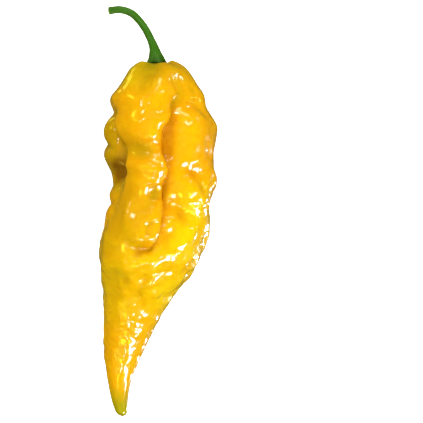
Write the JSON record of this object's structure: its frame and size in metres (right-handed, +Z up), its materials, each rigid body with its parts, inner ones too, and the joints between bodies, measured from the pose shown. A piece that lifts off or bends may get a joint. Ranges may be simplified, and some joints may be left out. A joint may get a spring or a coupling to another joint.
{
  "type": "chilli pepper",
  "caption": "Long, wrinkled, glossy yellow chilli pepper with a tapering tail and a curved green stem, lying on its side.",
  "frame": {"origin": "on the ground under the middle of the whole pepper's box", "axes": "+Y along the pepper towards the stem's end, +Z up from the ground it lies on, +X to the right seen from above with the stem at the top"},
  "size_m": [0.0286, 0.0994, 0.0235],
  "materials": {
    "yellow_skin": "glossy waxy skin",
    "green_stem": "satin"
  },
  "bodies": {
    "root": {"pod": "yellow_skin", "stem": "green_stem"}
  },
  "joints": []
}
